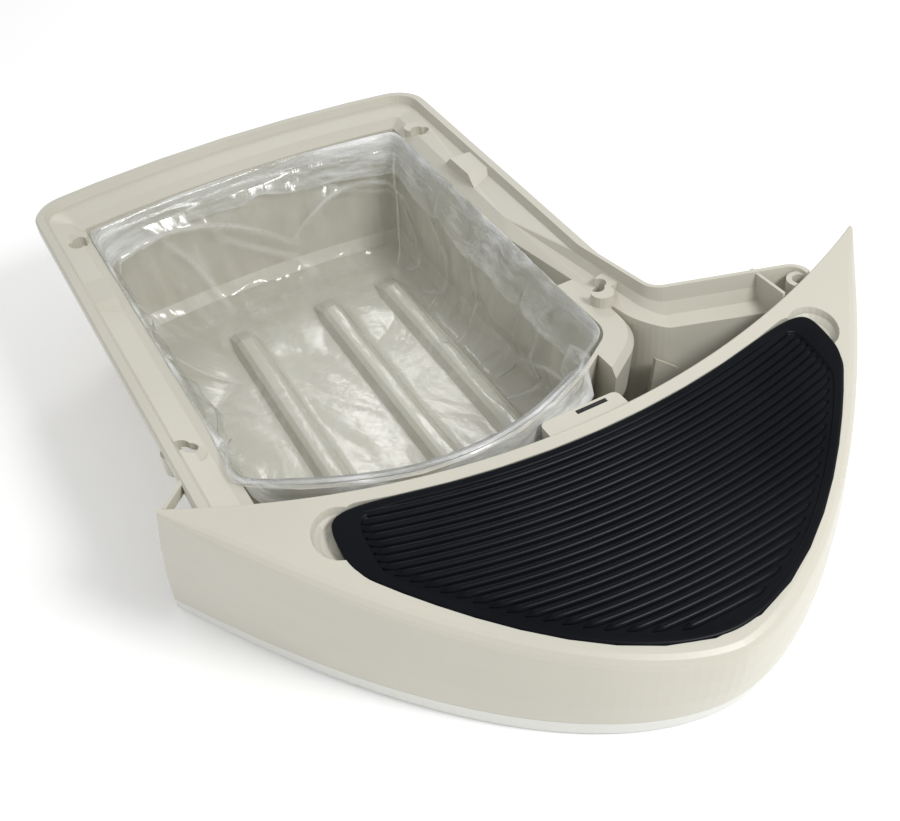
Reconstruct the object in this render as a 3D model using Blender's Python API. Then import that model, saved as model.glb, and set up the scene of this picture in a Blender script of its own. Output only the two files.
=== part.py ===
"""Pull-out waste drawer: an open bin with a film liner and a crescent step in front.

Metres, +Z up.  The origin is on the floor, under the middle of the drawer's
bounding box: X = 0 is the centre line of the step, +Y points to the bin's rear.
"""
import math

import bmesh
import bpy
from mathutils import Vector

# ---------------------------------------------------------------- driving sizes
RIM_HEIGHT = 0.122          # floor to the bin's rim
TUB_SHIFT = -0.0666         # the bin's centre line, left of the step's
TUB_REAR_HALF = 0.170       # half width of the rim at its rear corners
TUB_FRONT_HALF = 0.161      # half width of the rim where the wing begins
TUB_REAR_Y = 0.292          # rear corners
TUB_REAR_BOW = 0.0172       # how far the rear edge bows out between them
TUB_FRONT_Y = -0.072        # where the right wing leaves the side
TUB_CORNER_R = 0.030

LIP_WIDTH = 0.007           # flat top of the rim
LIP_HEIGHT = 0.010          # outer face of the rim
LEDGE_INSET = 0.025         # inner edge of the ledge, from the rim
LEDGE_DROP = 0.011
MOUTH_INSET = 0.033         # top of the bin's wall, from the rim
MOUTH_DROP = 0.017
FLOOR_INSET = 0.045         # foot of the bin's wall, from the rim
WALL = 0.004                # wall of the tub at its foot
FLOOR = 0.003

WING_REACH = 0.264          # outer face of the right wing, from the bin's centre line
WING_Y = -0.104             # its outer corner
WING_FRONT_Y = -0.148       # where it ends, under the step
WING_BEND_Y = -0.020        # the right side starts to flare out here
WING_FLARE = 0.009          # and stands out this much where the wing begins
WING_LEDGE_INSET = 0.009    # ledge along the wing, from the rim
WING_LEDGE_DROP = 0.020
TUB_LEFT_Y = -0.106         # the left side ends here, under the step's horn
BASIN_MARGIN = 0.014        # the tub's front stays this far inside the skirt's foot

STEP_HALF = 0.2472          # half width of the step, tip to middle
STEP_TIP_Y = -0.098
STEP_TIP_Z = 0.1277
STEP_SLOPE = 0.278          # fall of the step's top towards the front
STEP_BACK_BOW = 0.0553
STEP_BACK_POWER = 2.05
STEP_DEPTH = 0.2095         # tip line to the front of the crease
STEP_POWER = 1.64
STEP_HORN = 0.0034          # blunt width of its two horns
STEP_WALL = 0.003
STEP_FILLET = 0.006
STEP_FLANGE = 0.008         # turned-down rear edge of the step

SKIRT_FOOT_HALF = 0.252
SKIRT_FOOT_TIP_Y = -0.0536
SKIRT_FOOT_DEPTH = 0.2434
SKIRT_FOOT_POWER = 1.86
SKIRT_FOOT_Z = 0.0015
SKIRT_BULGE = 0.003
STRIP_HEIGHT = 0.015        # visible height of the strip along the skirt's foot
STRIP_LEG = 0.010           # how far its inner leg stands up behind the skirt

MAT_HALF = 0.170
MAT_SHIFT = 0.003           # middle of the mat, right of the step's centre line
MAT_BACK_Y = -0.161         # middle of the mat's rear edge
MAT_CORNER_Y = -0.139
MAT_SIDE_Y = -0.178         # foot of the mat's short end edges
MAT_FRONT_Y = -0.2975
MAT_FRONT_POWER = 1.76
MAT_THICK = 0.0042
MAT_PROUD = 0.0008          # the mat stands this far above the step's top
MAT_CORNER_R = 0.012
MAT_SIDE_R = 0.030
MAT_END_BORDER = 0.015
MAT_LONG_BORDER = 0.0045
RIB_COUNT = 25
RIB_HEIGHT = 0.0016
RIB_SHARE = 0.42            # rib width as a share of the pitch

NOTCH_R = 0.0165            # finger notches at the mat's ends
NOTCH_X = 0.165
NOTCH_Y = -0.155
NOTCH_DEPTH = 0.0085

DIVIDER_REAR_Y = -0.015     # the bin's front wall starts inside the tub's sides here
DIVIDER_CORNER_Y = -0.078
DIVIDER_BOW = 0.054
DIVIDER_WALL = 0.003
DIVIDER_CORNER_R = 0.022
SHELF_REACH = 0.020         # the land around its right corner
SHELF_LEFT_X = 0.112        # where the land begins, from the bin's centre line

HOOK_REAR_Y = 0.236
HOOK_FRONT_Y = -0.044
HOOK_X = 0.1505             # from the bin's centre line
HOOK_TOP = 0.0085           # below the rim
HOOK_SPREAD = 0.007         # each lobe stands this far from the middle
LOBE_R = 0.0080
HOOK_HOLE_R = 0.0052

BLOCK_Y = (0.122, 0.176)    # raised blocks on the side ledges

LINER_GAP = 0.0014
LINER_SKIN = 0.0012
LINER_TOP = 0.0125          # below the rim

HOLDER_X = 0.008            # its middle
HOLDER_SIZE = (0.056, 0.020, 0.050)
HOLDER_TOP = 0.018          # below the rim
HOLDER_WALL = 0.003
SLOT_SIZE = (0.022, 0.0036)  # the filter's slot, near the holder's rear right edge
SLOT_SHIFT = (0.0075, 0.0062)
FILTER_PROUD = 0.0003

POSTS = ((-0.100, -0.165), (0.100, -0.165), (-0.042, -0.190), (0.042, -0.190))
POST_R = 0.006
POST_FOOT = 0.008
SCREW_R = 0.0016
SCREW_HEAD_R = 0.0042
SCREW_HEAD = 0.0026
SCREW_LENGTH = 0.018

FIT = 0.0003                # between pieces that touch
SLIP = 0.0005               # between pieces that lift apart
ARC_STEPS = 8
STEP_SECTIONS = 76

# ---------------------------------------------------------------- colours
BEIGE = (0.62, 0.60, 0.53)
PALE_BEIGE = (0.70, 0.69, 0.65)
RUBBER_BLACK = (0.012, 0.013, 0.017)
FILM = (0.78, 0.80, 0.78)
CARBON = (0.02, 0.02, 0.02)
STEEL = (0.55, 0.55, 0.56)


# ---------------------------------------------------------------- helpers
def plastic(name, colour, roughness, metallic=0.0):
    """A Principled material of one colour."""
    material = bpy.data.materials.new(name)
    material.use_nodes = True
    shader = material.node_tree.nodes["Principled BSDF"]
    shader.inputs["Base Color"].default_value = (*colour, 1.0)
    shader.inputs["Roughness"].default_value = roughness
    shader.inputs["Metallic"].default_value = metallic
    material.diffuse_color = (*colour, 1.0)
    return material


def place(name, mesh_builder, material=None):
    """Turn a bmesh into an object with its faces pointing out."""
    bmesh.ops.recalc_face_normals(mesh_builder, faces=mesh_builder.faces)
    mesh = bpy.data.meshes.new(name)
    mesh_builder.to_mesh(mesh)
    mesh_builder.free()
    if material:
        mesh.materials.append(material)
    thing = bpy.data.objects.new(name, mesh)
    bpy.context.scene.collection.objects.link(thing)
    return thing


def loft(name, rings, material=None):
    """Join closed rings of points, one after the other, and cap both ends."""
    builder = bmesh.new()
    rows = [[builder.verts.new(point) for point in ring] for ring in rings]
    count = len(rows[0])
    for low, high in zip(rows, rows[1:]):
        for i in range(count):
            j = (i + 1) % count
            builder.faces.new((low[i], low[j], high[j], high[i]))
    builder.faces.new(rows[0])
    builder.faces.new(rows[-1])
    return place(name, builder, material)


def combine(target, other, operation):
    """Leave a Boolean of other on target, and hide other as a tool."""
    step = target.modifiers.new(other.name, "BOOLEAN")
    step.operation = operation
    step.object = other
    step.solver = "EXACT"
    other.hide_render = True
    other.display_type = "WIRE"


def cut(target, other):
    combine(target, other, "DIFFERENCE")


def add(target, other):
    combine(target, other, "UNION")


def inset_polygon(corners, inset):
    """Move every edge of a counter-clockwise polygon in.

    Corners are (x, y, radius), or (x, y, radius, kind), where kind names the
    edge that starts there and inset may be a table of distances by kind.  A
    radius shrinks on an outer corner, and grows on an inner one, so that the
    fillet stays parallel to itself.
    """
    def reach_of(corner):
        return inset[corner[3]] if isinstance(inset, dict) else inset

    moved = []
    count = len(corners)
    for i in range(count):
        before = Vector(corners[i - 1][:2])
        here = Vector(corners[i][:2])
        after = Vector(corners[(i + 1) % count][:2])
        along = (here - before).normalized()
        onward = (after - here).normalized()
        reach_a = reach_of(corners[i - 1])
        reach_b = reach_of(corners[i])
        turn = along.x * onward.y - along.y * onward.x
        if abs(turn) < 0.02:
            spot = here + Vector((-along.y, along.x)) * (0.5 * (reach_a + reach_b))
        else:
            spot = here + (onward * reach_a - along * reach_b) / turn
        radius = corners[i][2]
        if radius > 0.0:
            nearer = min(reach_a, reach_b) if reach_a > 0.0 else max(reach_a, reach_b)
            radius = max(0.002, radius - nearer) if turn > 0.0 else max(0.002, radius + nearer)
        moved.append((spot.x, spot.y, radius))
    return moved


def rounded(corners, steps=ARC_STEPS):
    """Points of a polygon whose corners (x, y, radius) are filleted."""
    points = []
    count = len(corners)
    for i in range(count):
        before = Vector(corners[i - 1][:2])
        here = Vector(corners[i][:2])
        after = Vector(corners[(i + 1) % count][:2])
        radius = corners[i][2]
        if radius == 0.0:
            points.append(here)
            continue
        back = (before - here)
        forth = (after - here)
        room = 0.48 * min(back.length, forth.length)
        back.normalize()
        forth.normalize()
        half = 0.5 * math.acos(max(-1.0, min(1.0, back.dot(forth))))
        radius = min(radius, room * math.tan(half))
        reach = radius / math.tan(half)
        centre = here + (back + forth).normalized() * (radius / math.sin(half))
        start = here + back * reach - centre
        end = here + forth * reach - centre
        sweep = start.angle_signed(end)
        for step in range(steps + 1):
            angle = -sweep * step / steps
            turned = Vector((start.x * math.cos(angle) - start.y * math.sin(angle),
                             start.x * math.sin(angle) + start.y * math.cos(angle)))
            points.append(centre + turned)
    return points


def ring(corners, inset, z):
    return [Vector((p.x, p.y, z)) for p in rounded(inset_polygon(corners, inset))]


def prism(name, points, low, high, material=None):
    """Extrude a plan outline between two heights, which may depend on y."""
    bottom = low if callable(low) else (lambda y: low)
    top = high if callable(high) else (lambda y: high)
    rings = [[Vector((p[0], p[1], f(p[1]))) for p in points] for f in (bottom, top)]
    return loft(name, rings, material)


def box(name, low, high):
    corners = [(low[0], low[1]), (high[0], low[1]), (high[0], high[1]), (low[0], high[1])]
    return prism(name, corners, low[2], high[2])


def circle(centre, radius, count=20):
    turns = [2.0 * math.pi * i / count for i in range(count)]
    return [(centre[0] + radius * math.cos(a), centre[1] + radius * math.sin(a)) for a in turns]


def cylinder(name, centre, radius, low, high, count=20, material=None):
    return prism(name, circle(centre, radius, count), low, high, material)


# ---------------------------------------------------------------- step curves
def step_top(y):
    """Height of the step's sloping top."""
    return STEP_TIP_Z - STEP_SLOPE * (STEP_TIP_Y - y)


def step_back(x):
    """Rear edge of the step."""
    share = min(1.0, abs(x / STEP_HALF))
    return STEP_TIP_Y + 0.5 * STEP_HORN - STEP_BACK_BOW * (1.0 - share ** STEP_BACK_POWER)


def crease_point(u):
    fall = STEP_DEPTH * (1.0 - abs(u) ** STEP_POWER)
    return Vector((STEP_HALF * u, STEP_TIP_Y - 0.5 * STEP_HORN - fall))


def foot_point(u):
    fall = 1.0 - abs(u) ** SKIRT_FOOT_POWER
    return Vector((SKIRT_FOOT_HALF * u, SKIRT_FOOT_TIP_Y - SKIRT_FOOT_DEPTH * fall))


def skirt_share(u, z):
    """0 at the crease, 1 at the foot of the skirt."""
    crest = step_top(crease_point(u).y)
    return (crest - z) / (crest - SKIRT_FOOT_Z)


def skirt_point(u, z, inset=0.0):
    """A point of the skirt's outer face, or inset behind it."""
    share = skirt_share(u, z)
    delta = 0.002
    low = min(max(u - delta, -1.0), 1.0 - 2.0 * delta)
    a = crease_point(low).lerp(foot_point(low), share)
    b = crease_point(low + 2.0 * delta).lerp(foot_point(low + 2.0 * delta), share)
    along = (b - a).normalized()
    outward = Vector((along.y, -along.x))
    bulge = SKIRT_BULGE * 4.0 * share * (1.0 - share) if 0.0 < share < 1.0 else 0.0
    plan = crease_point(u).lerp(foot_point(u), share) + outward * (bulge - inset)
    return Vector((plan.x, plan.y, z))


def section_stations():
    return [2.0 * i / STEP_SECTIONS - 1.0 for i in range(STEP_SECTIONS + 1)]


# ---------------------------------------------------------------- tub
def rear_edge():
    """The bowed rear edge, right corner to left corner, in the bin's own x."""
    points = [(TUB_REAR_HALF, TUB_REAR_Y, TUB_CORNER_R)]
    for share in (0.66, 0.33, 0.0, -0.33, -0.66):
        bow = TUB_REAR_BOW * (1.0 - share * share)
        points.append((TUB_REAR_HALF * share, TUB_REAR_Y + bow, 0.0))
    points.append((-TUB_REAR_HALF, TUB_REAR_Y, TUB_CORNER_R))
    return points


def side_half(y):
    """Half width of the rim at y; the sides draw in towards the front."""
    share = (TUB_REAR_Y - y) / (TUB_REAR_Y - TUB_FRONT_Y)
    return TUB_REAR_HALF + (TUB_FRONT_HALF - TUB_REAR_HALF) * share


def tub_outline():
    """Rim outline, counter-clockwise from the rear right corner."""
    outline = [(TUB_SHIFT + x, y, r, "side") for x, y, r in rear_edge()]
    outline.append((TUB_SHIFT - side_half(TUB_LEFT_Y), TUB_LEFT_Y, 0.008, "front"))
    for u in (-0.70, -0.48, -0.24, 0.0, 0.24, 0.48, 0.66):
        foot = foot_point(u)
        outline.append((foot.x, foot.y + BASIN_MARGIN, 0.0, "front"))
    wing = TUB_SHIFT + WING_REACH
    outline.append((wing, WING_FRONT_Y, 0.0, "wing side"))
    outline.append((wing, WING_Y, 0.014, "wing"))
    outline.append((TUB_SHIFT + side_half(TUB_FRONT_Y) + WING_FLARE, TUB_FRONT_Y, 0.012, "wing"))
    outline.append((TUB_SHIFT + side_half(WING_BEND_Y), WING_BEND_Y, 0.050, "side"))
    return outline


def tub_ring(row):
    """One ring of the tub's profile.

    Row holds the inset and the drop below the rim along the sides, the same two
    along the wing, and the inset along the front, which the step covers.
    """
    side_inset, side_drop, wing_inset, wing_drop, front_inset = row
    insets = {"side": side_inset, "wing": wing_inset, "front": front_inset,
              "wing side": 0.5 * (wing_inset + front_inset)}
    edge = TUB_SHIFT + side_half(TUB_FRONT_Y)
    points = []
    for p in rounded(inset_polygon(tub_outline(), insets)):
        share = min(1.0, max(0.0, (p.x - edge + 0.012) / 0.030))
        share = share * share * (3.0 - 2.0 * share)
        drop = side_drop + (wing_drop - side_drop) * share
        points.append(Vector((p.x, p.y, RIM_HEIGHT - drop)))
    return points


def bin_outline():
    """Inner face of the bin at its mouth; only its front part is a wall of its own."""
    half = side_half(DIVIDER_REAR_Y) - MOUTH_INSET + 0.0008
    rear = DIVIDER_REAR_Y + 0.060
    corners = [(half, rear, 0.0), (-half, rear, 0.0), (-half, DIVIDER_CORNER_Y, DIVIDER_CORNER_R)]
    for share in (-0.75, -0.5, -0.25, 0.0, 0.25, 0.5, 0.75):
        bow = DIVIDER_BOW * (1.0 - share * share)
        corners.append((half * share, DIVIDER_CORNER_Y - bow, 0.0))
    corners.append((half, DIVIDER_CORNER_Y, DIVIDER_CORNER_R))
    return [(TUB_SHIFT + x, y, r) for x, y, r in corners]


MOUTH_Z = RIM_HEIGHT - MOUTH_DROP
DIVIDER_LEAN = FLOOR_INSET - MOUTH_INSET


def make_divider():
    """The bin's bowed front wall, with a wider shelf around its right corner."""
    outline = bin_outline()
    outer = loft("divider", [ring(outline, DIVIDER_LEAN - DIVIDER_WALL, 0.5 * FLOOR),
                             ring(outline, -DIVIDER_WALL, MOUTH_Z)])
    inner = loft("divider_inside", [ring(outline, DIVIDER_LEAN, FLOOR),
                                    ring(outline, 0.0, MOUTH_Z + FIT),
                                    ring(outline, 0.0, RIM_HEIGHT)])
    half = side_half(DIVIDER_REAR_Y)
    left = TUB_SHIFT - half
    right = TUB_SHIFT + half
    shelf = loft("divider_shelf", [ring(outline, 0.004 - SHELF_REACH, MOUTH_Z - 0.040),
                                   ring(outline, -SHELF_REACH, MOUTH_Z - 0.006),
                                   ring(outline, 0.004 - SHELF_REACH, MOUTH_Z)])
    cut(shelf, box("shelf_trim", (left, -0.30, 0.0), (TUB_SHIFT + SHELF_LEFT_X, 0.20, RIM_HEIGHT)))
    add(outer, shelf)
    cut(outer, inner)
    cut(outer, box("divider_trim", (left, DIVIDER_REAR_Y, -0.01), (right, 0.20, RIM_HEIGHT)))
    return outer


def make_hook(tub, index, side, y):
    """A raised double arch around a keyhole, which grips the liner's corner."""
    corner = Vector((TUB_SHIFT + side * HOOK_X, y))
    toward_bin = Vector((-side, -1.0 if y > 0.0 else 1.0)).normalized()
    across = Vector((-toward_bin.y, toward_bin.x))
    base = RIM_HEIGHT - MOUTH_DROP - 0.006
    top = RIM_HEIGHT - HOOK_TOP
    for letter, shift in (("a", -HOOK_SPREAD), ("b", HOOK_SPREAD)):
        add(tub, cylinder(f"hook_{index}_{letter}", corner + across * shift, LOBE_R, base, top, 16))
    for letter, shift in (("a", -0.35 * HOOK_SPREAD), ("b", 0.45 * HOOK_SPREAD)):
        spot = corner + across * shift + toward_bin * 0.0045
        cut(tub, cylinder(f"hook_{index}_hole_{letter}", spot, HOOK_HOLE_R, base - 0.010,
                          RIM_HEIGHT + 0.01, 14))


def make_tub(material):
    under = RIM_HEIGHT
    hull = [(0.0015, 0.0, 0.0010, 0.0, 0.0),
            (0.0, 0.0015, 0.0, 0.0015, 0.0),
            (0.0, LIP_HEIGHT, 0.0, LIP_HEIGHT, 0.0),
            (LIP_WIDTH, LIP_HEIGHT + 0.001, 0.0015, LIP_HEIGHT + 0.002, 0.002),
            (LEDGE_INSET - WALL, LEDGE_DROP + WALL,
             WING_LEDGE_INSET - 0.003, WING_LEDGE_DROP + WALL, 0.004),
            (MOUTH_INSET - WALL, MOUTH_DROP + WALL,
             WING_LEDGE_INSET + 0.006, WING_LEDGE_DROP + 0.009, 0.006),
            (FLOOR_INSET - WALL, under - 0.004, WING_LEDGE_INSET + 0.012, under - 0.004, 0.009),
            (FLOOR_INSET, under, WING_LEDGE_INSET + 0.015, under, 0.012)]
    hollow = [(LIP_WIDTH, -0.002, 0.004, -0.002, 0.004),
              (LIP_WIDTH, 0.0, 0.004, 0.0, 0.004),
              (LIP_WIDTH + 0.0025, 0.006, 0.0055, WING_LEDGE_DROP - 0.009, 0.004),
              (LEDGE_INSET, LEDGE_DROP, WING_LEDGE_INSET, WING_LEDGE_DROP, 0.008),
              (MOUTH_INSET, MOUTH_DROP, WING_LEDGE_INSET + 0.010, WING_LEDGE_DROP + 0.004, 0.010),
              (FLOOR_INSET - 0.002, under - FLOOR - 0.010,
               WING_LEDGE_INSET + 0.017, under - FLOOR - 0.010, 0.014),
              (FLOOR_INSET + 0.004, under - FLOOR, WING_LEDGE_INSET + 0.023, under - FLOOR, 0.020)]
    tub = loft("drawer_tub", [tub_ring(row) for row in hull], material)
    cut(tub, loft("tub_hollow", [tub_ring(row) for row in hollow]))
    add(tub, make_divider())

    for index, (side, y) in enumerate(((-1, HOOK_REAR_Y), (1, HOOK_REAR_Y),
                                       (-1, HOOK_FRONT_Y), (1, HOOK_FRONT_Y))):
        make_hook(tub, index, side, y)

    for side in (-1, 1):
        make_ledge_block(tub, side)
    make_pocket_details(tub)
    make_left_wing(tub)
    make_floor_ridges(tub)
    for index, post in enumerate(POSTS):
        boss = cylinder(f"boss_{index}", post, POST_R + 0.003, 0.5 * FLOOR, POST_FOOT - FIT)
        add(tub, boss)
        cut(tub, cylinder(f"boss_{index}_bore", post, SCREW_R + 0.0007, -0.01, 0.05, 16))
        cut(tub, cylinder(f"boss_{index}_sink", post, SCREW_HEAD_R + 0.0005, -0.01,
                          SCREW_HEAD + 0.0007, 16))

    cut(tub, step_clearance())
    return tub


def make_ledge_block(tub, side):
    """A raised block on a side ledge, with sloped ends."""
    low, high = BLOCK_Y
    outer = TUB_SHIFT + side * (side_half(high) - LIP_WIDTH + 0.001)
    inner = TUB_SHIFT + side * (side_half(high) - LEDGE_INSET - 0.001)
    base = RIM_HEIGHT - LEDGE_DROP - 0.003
    top = RIM_HEIGHT - 0.0025
    ramp = 0.012
    profile = ((low, base), (high, base), (high - ramp, top), (low + ramp, top))
    rings = [[Vector((x, y, z)) for y, z in profile] for x in (inner, outer)]
    add(tub, loft(f"ledge_block_{side}", rings))


def make_pocket_details(tub):
    """Gusset plate, boss and web inside the right wing's pocket."""
    plate_x = TUB_SHIFT + 0.236
    thick = 0.0022
    rear = WING_Y + 0.012
    plate = box("gusset_plate", (plate_x - thick, -0.1385, 0.078),
                (plate_x, rear, RIM_HEIGHT - 0.0012))
    add(tub, plate)
    boss_at = (TUB_SHIFT + WING_REACH - 0.0095, WING_Y - 0.0135)
    add(tub, cylinder("wing_boss", boss_at, 0.0088, 0.070, RIM_HEIGHT - 0.0025))
    cut(tub, cylinder("wing_boss_bore", boss_at, 0.0052, 0.085, RIM_HEIGHT + 0.01))

    corner = bin_outline()[-1]
    start = Vector((corner[0] - 0.004, corner[1] - 0.012))
    web = [(start.x + 0.022, start.y, 0.5 * FLOOR), (start.x + 0.078, start.y - 0.014, 0.5 * FLOOR),
           (start.x + 0.046, start.y - 0.008, 0.070), (start.x + 0.030, start.y - 0.004, 0.082)]
    rings = [[Vector(p) + Vector((0.0, shift, 0.0)) for p in web] for shift in (0.0, -0.003)]
    add(tub, loft("pocket_web", rings))


def make_left_wing(tub):
    """A thin bar from the tub's front left corner to the step's horn."""
    x = TUB_SHIFT - side_half(-0.080)
    inner = Vector((x + 0.003, -0.074))
    outer = Vector((0.005 - STEP_HALF, STEP_TIP_Y + 0.006))
    along = (outer - inner).normalized()
    across = Vector((-along.y, along.x)) * 0.0013
    plan = [inner + across, inner - across, outer - across, outer + across]
    add(tub, prism("left_wing", plan, RIM_HEIGHT - 0.008, RIM_HEIGHT - 0.0008))


def make_floor_ridges(tub):
    """Soft lengthwise ridges that stiffen the bin's floor."""
    for index, x in enumerate((-0.117, -0.041, 0.016)):
        profile = ((-0.013, 0.5 * FLOOR), (-0.008, 0.0095), (-0.004, 0.0115),
                   (0.004, 0.0115), (0.008, 0.0095), (0.013, 0.5 * FLOOR))
        rings = []
        for y, scale in ((-0.060, 0.9), (-0.045, 1.0), (0.180, 1.0), (0.200, 0.9)):
            height = 1.0 if scale == 1.0 else 0.35
            rings.append([Vector((x + px * scale, y, 0.5 * FLOOR + (pz - 0.5 * FLOOR) * height))
                          for px, pz in profile])
        add(tub, loft(f"floor_ridge_{index}", rings))


def step_clearance():
    """Room under the step's top: it clears every wall of the tub that runs beneath it."""
    drop = STEP_WALL + 0.0085
    count = 24
    xs = [STEP_HALF * (2.0 * i / count - 1.0) for i in range(count + 1)]
    plan = [(x, step_back(x) + 0.0008) for x in reversed(xs)]
    plan = [(1.1 * STEP_HALF, plan[0][1])] + plan + [(-1.1 * STEP_HALF, plan[-1][1])]
    plan += [(-1.1 * STEP_HALF, -0.40), (1.1 * STEP_HALF, -0.40)]
    return prism("step_clearance", plan, lambda y: step_top(y) - drop, 0.30)


# ---------------------------------------------------------------- step cover
def step_section(u):
    """One closed cross-section of the cover, rear flange to skirt foot and back."""
    crease = crease_point(u)
    x = crease.x
    back = step_back(x)
    width = back - crease.y
    fade = min(1.0, width / 0.030)
    edge = min(0.0012, 0.25 * width)
    fillet = min(STEP_FILLET, 0.30 * width)
    flange = STEP_WALL + 0.0008 + (STEP_FLANGE - STEP_WALL) * max(0.0, 1.4 * fade - 0.4)
    flange_wall = min(0.0025, 0.3 * width)
    crest = skirt_point(u, step_top(crease.y))
    inward = skirt_point(u, step_top(crease.y), 0.001) - crest
    inward.z = 0.0
    inward.normalize()
    inward.x *= fade

    points = [Vector((x, back, step_top(back) - flange)),
              Vector((x, back, step_top(back) - edge)),
              Vector((x, back - edge, step_top(back - edge)))]
    for turn in (0.0, 30.0, 60.0, 90.0):
        angle = math.radians(turn)
        spot = crest + inward * (fillet * (1.0 - math.sin(angle)))
        points.append(Vector((spot.x, spot.y, step_top(spot.y) - fillet * (1.0 - math.cos(angle)))))
    shoulder = points[-1].z
    foot = STRIP_HEIGHT + FIT
    levels = [shoulder + (foot - shoulder) * share for share in (0.30, 0.65, 1.0)]
    points += [skirt_point(u, z) for z in levels]
    points += [skirt_point(u, z, STEP_WALL) for z in reversed(levels)]
    inner_edge = min(STEP_WALL + fillet * 0.5, 0.55 * width)
    corner = crest + inward * inner_edge
    corner_y = min(corner.y, back - 0.45 * width)
    points.append(Vector((corner.x, corner_y, step_top(corner_y) - STEP_WALL)))
    inner_back = back - flange_wall
    points.append(Vector((x, inner_back, step_top(inner_back) - STEP_WALL)))
    points.append(Vector((x, inner_back, step_top(back) - flange)))
    return points


def mat_back_line(x):
    share = x / (0.95 * MAT_HALF)
    return MAT_CORNER_Y - (MAT_CORNER_Y - MAT_BACK_Y) * (1.0 - share * share)


def mat_front_line(x):
    share = min(1.0, abs(x / MAT_HALF))
    return MAT_SIDE_Y - (MAT_SIDE_Y - MAT_FRONT_Y) * (1.0 - share ** MAT_FRONT_POWER)


def mat_outline(inset=0.0):
    """Plan of the ribbed mat, counter-clockwise, filleted where its edges meet."""
    corners = []
    shares = [0.94 - 1.88 * i / 10.0 for i in range(11)]
    for share in shares:
        ends = abs(share) > 0.93
        x = MAT_HALF * share
        corners.append((x, mat_back_line(x), MAT_CORNER_R if ends else 0.0))
    corners.append((-MAT_HALF, mat_front_line(-MAT_HALF), MAT_SIDE_R))
    front = [math.sin(math.radians(a)) for a in (-62, -54, -46, -38, -30, -22, -14, -5)]
    corners += [(MAT_HALF * s, mat_front_line(MAT_HALF * s), 0.0) for s in front]
    corners += [(-x, y, r) for x, y, r in reversed(corners[11:])]
    corners = [(x + MAT_SHIFT, y, r) for x, y, r in corners]
    return rounded(inset_polygon(corners, inset), 8)


def on_step(name, plan, low, high, material=None):
    """A prism between two depths measured from the step's sloping top."""
    return prism(name, plan, lambda y: step_top(y) + low, lambda y: step_top(y) + high, material)


def make_cover(material):
    sections = [step_section(u) for u in section_stations()]
    cover = loft("step_cover", sections, material)
    recess = MAT_THICK - MAT_PROUD + FIT
    add(cover, on_step("mat_pan", mat_outline(-0.0025), -recess - 0.0025, -0.5 * STEP_WALL))
    for side in (-1, 1):
        spot = (MAT_SHIFT + side * NOTCH_X, NOTCH_Y)
        add(cover, on_step(f"notch_bowl_{side}", circle(spot, NOTCH_R + 0.0025, 24),
                           -NOTCH_DEPTH - 0.0025, -0.5 * STEP_WALL))
    for index, post in enumerate(POSTS):
        top = step_top(post[1]) - recess - 0.001
        add(cover, cylinder(f"post_{index}", post, POST_R, POST_FOOT, top))
    cut(cover, on_step("mat_recess", mat_outline(-SLIP), -recess, 0.02))
    for side in (-1, 1):
        make_notch(cover, side)
    for index, post in enumerate(POSTS):
        cut(cover, cylinder(f"post_{index}_pilot", post, SCREW_R + FIT, -0.01, SCREW_LENGTH + 0.004, 16))
    return cover


def make_notch(cover, side):
    """A scooped round hollow for a fingertip at one end of the mat."""
    spot = (MAT_SHIFT + side * NOTCH_X, NOTCH_Y)
    rings = []
    for drop, share in ((NOTCH_DEPTH, 0.45), (0.85 * NOTCH_DEPTH, 0.72),
                        (0.5 * NOTCH_DEPTH, 0.92), (0.0, 1.0), (-0.01, 1.0)):
        plan = circle(spot, NOTCH_R * share, 24)
        rings.append([Vector((x, y, step_top(y) - drop)) for x, y in plan])
    cut(cover, loft(f"notch_{side}", rings))


def make_strip(material):
    """Strip along the skirt's foot, with a leg that stands behind the skirt."""
    leg_face = STEP_WALL + FIT
    leg_back = leg_face + 0.0022
    sections = []
    for u in section_stations():
        sections.append([skirt_point(u, STRIP_HEIGHT),
                         skirt_point(u, SKIRT_FOOT_Z),
                         skirt_point(u, SKIRT_FOOT_Z, STEP_WALL),
                         skirt_point(u, STRIP_HEIGHT - 0.003, leg_back),
                         skirt_point(u, STRIP_HEIGHT + STRIP_LEG, leg_back),
                         skirt_point(u, STRIP_HEIGHT + STRIP_LEG, leg_face),
                         skirt_point(u, STRIP_HEIGHT, leg_face)])
    return loft("skirt_foot_strip", sections, material)


def make_mat(material):
    """Rubber mat whose ribs run parallel to its rear edge."""
    floor = -(MAT_THICK - MAT_PROUD)
    mat = on_step("step_mat", mat_outline(), floor, MAT_PROUD, material)
    depth = MAT_BACK_Y - MAT_FRONT_Y - 2.0 * MAT_LONG_BORDER
    pitch = depth / (RIB_COUNT + RIB_SHARE)
    builder = bmesh.new()
    for index in range(RIB_COUNT):
        rear = MAT_LONG_BORDER + pitch * index + RIB_SHARE * pitch * (index > 0)
        groove_width = pitch * (1.0 - RIB_SHARE)
        add_groove(builder, rear, groove_width)
    grooves = place("mat_grooves", builder)
    cut(mat, grooves)
    return mat


def groove_half(depth_from_back):
    """Half length of the groove whose middle lies this far in front of the rear edge."""
    end = MAT_HALF - MAT_END_BORDER
    low = 0.0
    high = end
    for _ in range(30):
        x = 0.5 * (low + high)
        share = x / MAT_HALF
        steep = MAT_FRONT_POWER * (MAT_SIDE_Y - MAT_FRONT_Y) / MAT_HALF * share ** (MAT_FRONT_POWER - 1.0)
        border = MAT_LONG_BORDER * math.hypot(1.0, steep) + 0.006 * share
        if mat_back_line(x) - depth_from_back > mat_front_line(x) + border:
            low = x
        else:
            high = x
    return low


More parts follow.
